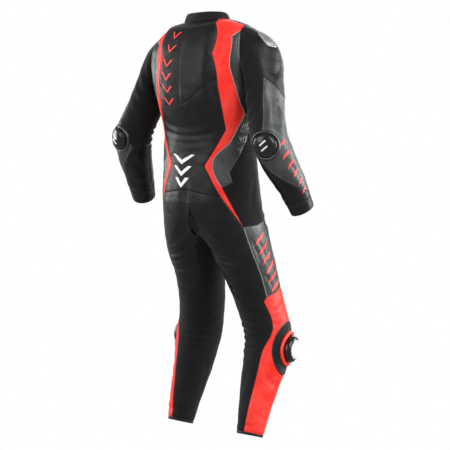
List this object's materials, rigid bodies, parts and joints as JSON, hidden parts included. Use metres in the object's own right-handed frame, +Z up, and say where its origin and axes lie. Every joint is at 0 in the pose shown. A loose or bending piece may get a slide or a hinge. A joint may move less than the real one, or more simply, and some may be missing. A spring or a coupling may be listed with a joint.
{
  "type": "motorcycle race suit",
  "caption": "One-piece leather riding suit in its worn shape and empty, with stand-up collar, padded back hump, pleated stretch panels, elbow sliders and knee sliders.",
  "frame": {"origin": "at the wearer's middle plane, level with the neck seam at the back, where the suit hangs from its shoulders", "axes": "+Z up along the suit, the wearer faces -Y, and the wearer's left side is +X"},
  "size_m": [0.7436, 0.3809, 1.4318],
  "materials": {
    "black_leather": "smooth cowhide, semi-gloss",
    "black_stretch": "woven aramid stretch, matt",
    "red_leather": "smooth cowhide, fluorescent red-orange",
    "grey_leather": "pearl-coated cowhide, pleated over stretch",
    "collar_knit": "neoprene-backed knit, matt",
    "zip_metal": "satin",
    "plate_metal": "brushed",
    "hook_pile": "loop pile",
    "slider_black": "moulded, glossy",
    "slider_red": "moulded"
  },
  "bodies": {
    "root": {"back_blade_rib_left": "grey_leather", "back_blade_rib_right": "grey_leather", "back_lower": "black_leather", "back_red_left": "red_leather", "back_red_right": "red_leather", "back_yoke_left": "black_leather", "back_yoke_right": "black_leather", "collar": "collar_knit", "cuff_left": "black_leather", "cuff_right": "black_leather", "elbow_ring_left": "slider_black", "elbow_ring_right": "slider_black", "elbow_slider_left": "slider_black", "elbow_slider_right": "slider_black", "flank_left": "black_stretch", "flank_right": "black_stretch", "forearm_back_left": "black_leather", "forearm_back_right": "black_leather", "forearm_front_left": "black_leather", "forearm_front_right": "black_leather", "forearm_zip_left": "zip_metal", "forearm_zip_right": "zip_metal", "front_left": "black_leather", "front_right": "black_leather", "front_zip": "zip_metal", "hem_binding_left": "black_leather", "hem_binding_right": "black_leather", "inner_leg_left": "black_stretch", "inner_leg_right": "black_stretch", "knee_patch_left": "hook_pile", "knee_patch_right": "hook_pile", "knee_slider_base_left": "slider_red", "knee_slider_base_right": "slider_red", "knee_slider_left": "slider_black", "knee_slider_right": "slider_black", "leg_red_left": "red_leather", "leg_red_right": "red_leather", "shin_left": "black_leather", "shin_right": "black_leather", "shoulder_plate_left": "plate_metal", "shoulder_plate_right": "plate_metal", "sleeve_back_left": "black_stretch", "sleeve_back_right": "black_stretch", "sleeve_cap_left": "black_leather", "sleeve_cap_right": "black_leather", "sleeve_grey_left": "grey_leather", "sleeve_grey_right": "grey_leather", "sleeve_inner_left": "black_stretch", "sleeve_inner_right": "black_stretch", "thigh_back_left": "black_leather", "thigh_back_right": "black_leather", "thigh_front_left": "black_leather", "thigh_front_right": "black_leather", "thigh_grey_left": "grey_leather", "thigh_grey_right": "grey_leather", "waist_rib_left": "grey_leather", "waist_rib_right": "grey_leather", "zip_slider": "zip_metal"}
  },
  "joints": []
}
